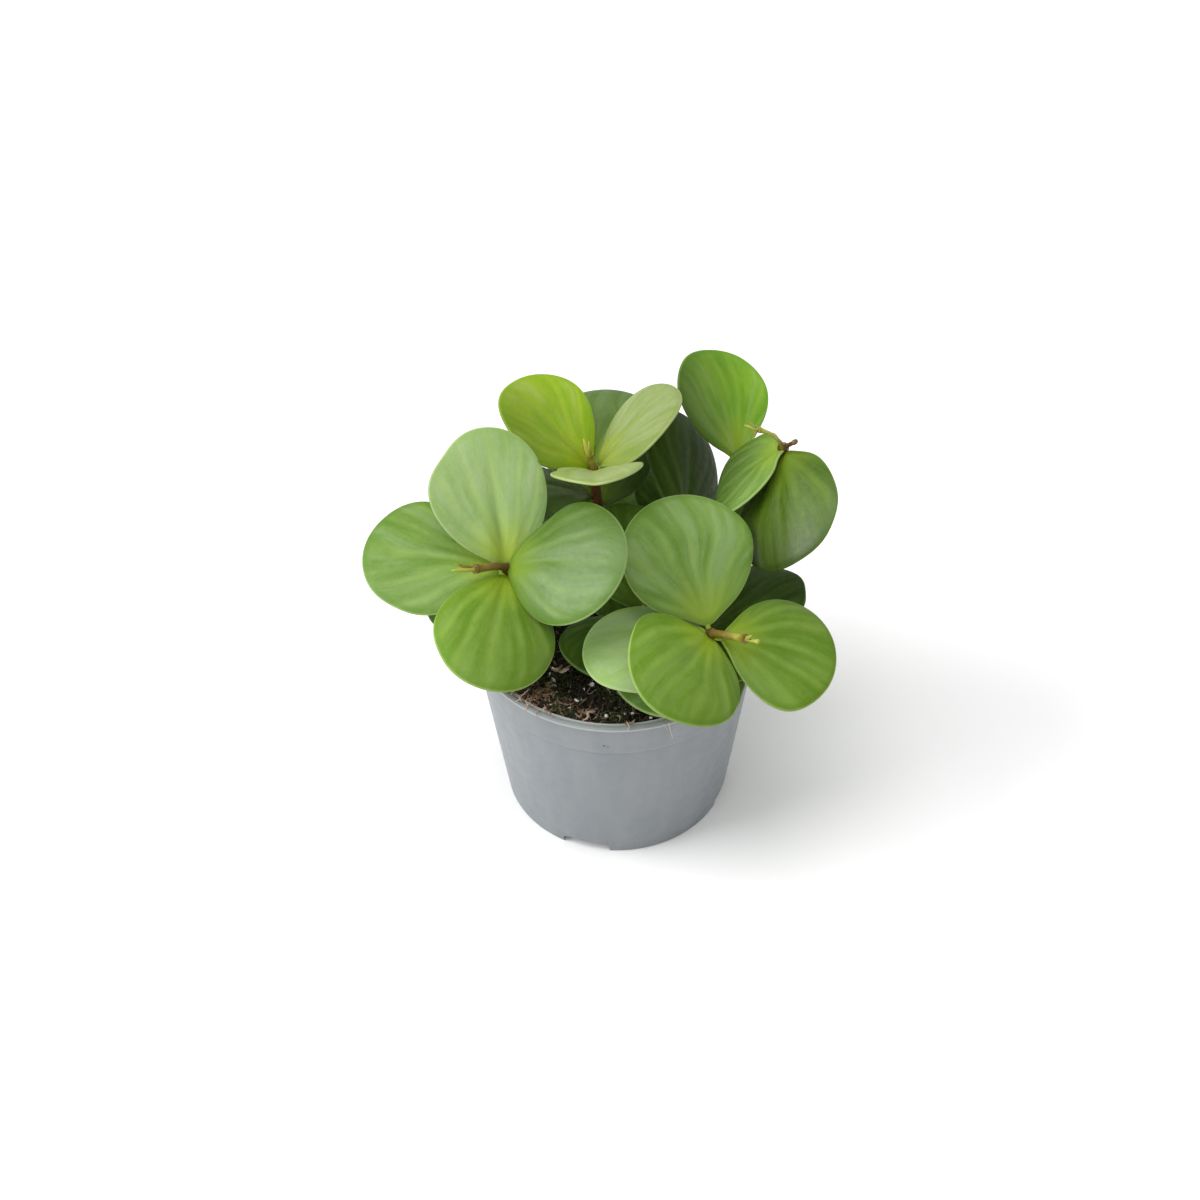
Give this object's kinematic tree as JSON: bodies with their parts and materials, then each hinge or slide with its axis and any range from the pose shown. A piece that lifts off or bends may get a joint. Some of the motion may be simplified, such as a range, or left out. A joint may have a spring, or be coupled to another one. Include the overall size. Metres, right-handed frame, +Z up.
{
  "type": "potted peperomia",
  "caption": "Small nursery pot of soil with leafy stems that carry whorls of round, fleshy green leaves.",
  "frame": {"origin": "middle of the whole plant's bounding box in plan, at the surface the pot stands on; the pot's axis is at x 4.5 mm, y -1.2 mm", "axes": "+Z up along the pot's axis, -Y towards the viewer of the picture, +X to the viewer's right"},
  "size_m": [0.1402, 0.1403, 0.1368],
  "materials": {
    "pot_plastic": "satin blue-grey moulded plastic",
    "soil_peat": "crumbly dark peat",
    "stem_skin": "smooth fleshy brown to yellow-green skin",
    "leaf_green": "smooth, thick, softly glossy green leaf"
  },
  "bodies": {
    "root": {"leaf_back_low_1": "leaf_green", "leaf_back_top_1": "leaf_green", "leaf_centre_base_1": "leaf_green", "leaf_centre_foot_1": "leaf_green", "leaf_centre_foot_2": "leaf_green", "leaf_centre_low_1": "leaf_green", "leaf_centre_low_2": "leaf_green", "leaf_centre_top_1": "leaf_green", "leaf_centre_top_2": "leaf_green", "leaf_centre_top_3": "leaf_green", "leaf_centre_top_4": "leaf_green", "leaf_front_base_1": "leaf_green", "leaf_front_low_1": "leaf_green", "leaf_front_low_2": "leaf_green", "leaf_front_low_3": "leaf_green", "leaf_front_top_1": "leaf_green", "leaf_front_top_2": "leaf_green", "leaf_front_top_3": "leaf_green", "leaf_front_top_4": "leaf_green", "leaf_left_base_1": "leaf_green", "leaf_left_low_1": "leaf_green", "leaf_left_low_2": "leaf_green", "leaf_left_top_1": "leaf_green", "leaf_left_top_2": "leaf_green", "leaf_left_top_3": "leaf_green", "leaf_left_top_4": "leaf_green", "leaf_middle_top_1": "leaf_green", "leaf_middle_top_2": "leaf_green", "leaf_right_base_1": "leaf_green", "leaf_right_low_1": "leaf_green", "leaf_right_mid_1": "leaf_green", "leaf_right_top_1": "leaf_green", "leaf_right_top_2": "leaf_green", "pot": "pot_plastic", "soil": "soil_peat", "stem_back": "stem_skin", "stem_centre": "stem_skin", "stem_front": "stem_skin", "stem_left": "stem_skin", "stem_middle": "stem_skin", "stem_right": "stem_skin"}
  },
  "joints": []
}
